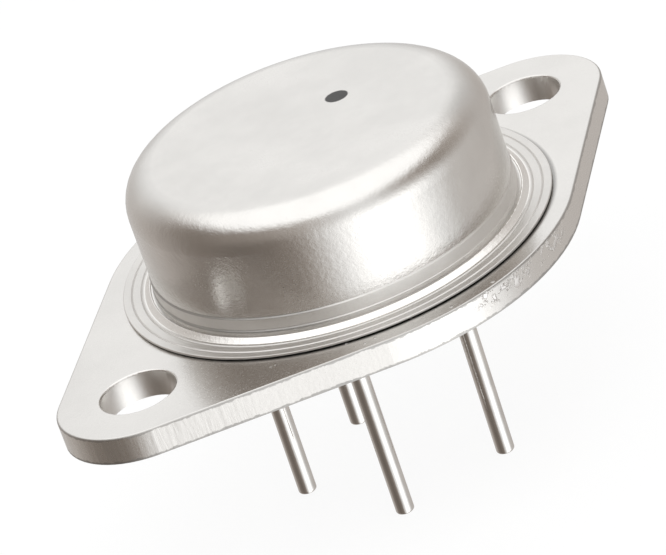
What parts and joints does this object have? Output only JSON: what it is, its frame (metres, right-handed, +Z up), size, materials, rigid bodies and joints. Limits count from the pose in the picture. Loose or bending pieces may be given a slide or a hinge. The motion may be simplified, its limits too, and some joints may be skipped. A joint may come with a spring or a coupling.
{
  "type": "voltage regulator",
  "caption": "Voltage regulator in a welded metal can: diamond-shaped base plate with screw holes, a low round cap and round leads underneath.",
  "frame": {"origin": "centre of the base plate's underside, midway between the two screw holes, on the seating plane", "axes": "+X through the two screw holes, +Z up through the cap; the leads run along -Z"},
  "size_m": [0.0388, 0.0256, 0.0203],
  "materials": {
    "nickel_plated_steel": "satin nickel plate on drawn and punched steel",
    "nickel_plated_lead": "bright nickel plate on iron-nickel wire",
    "seal_glass": "dark, nearly opaque sealing glass",
    "copper": "plain copper, a copper alloy's weight stands in",
    "solder": "matt grey solder",
    "silicon": "polished silicon with metal pads",
    "bond_wire": "bright drawn aluminium wire"
  },
  "bodies": {
    "root": {"base_plate": "nickel_plated_steel", "cap": "nickel_plated_steel", "spreader_solder": "solder", "heat_spreader": "copper", "die_solder": "solder", "regulator_die": "silicon", "lead_input": "nickel_plated_lead", "seal_input": "seal_glass", "lead_output": "nickel_plated_lead", "seal_output": "seal_glass", "lead_control": "nickel_plated_lead", "seal_control": "seal_glass", "lead_common": "nickel_plated_lead", "seal_common": "seal_glass", "wire_input_1": "bond_wire", "wire_input_2": "bond_wire", "wire_output_1": "bond_wire", "wire_output_2": "bond_wire", "wire_control": "bond_wire", "wire_common": "bond_wire", "wire_case": "bond_wire"}
  },
  "joints": []
}
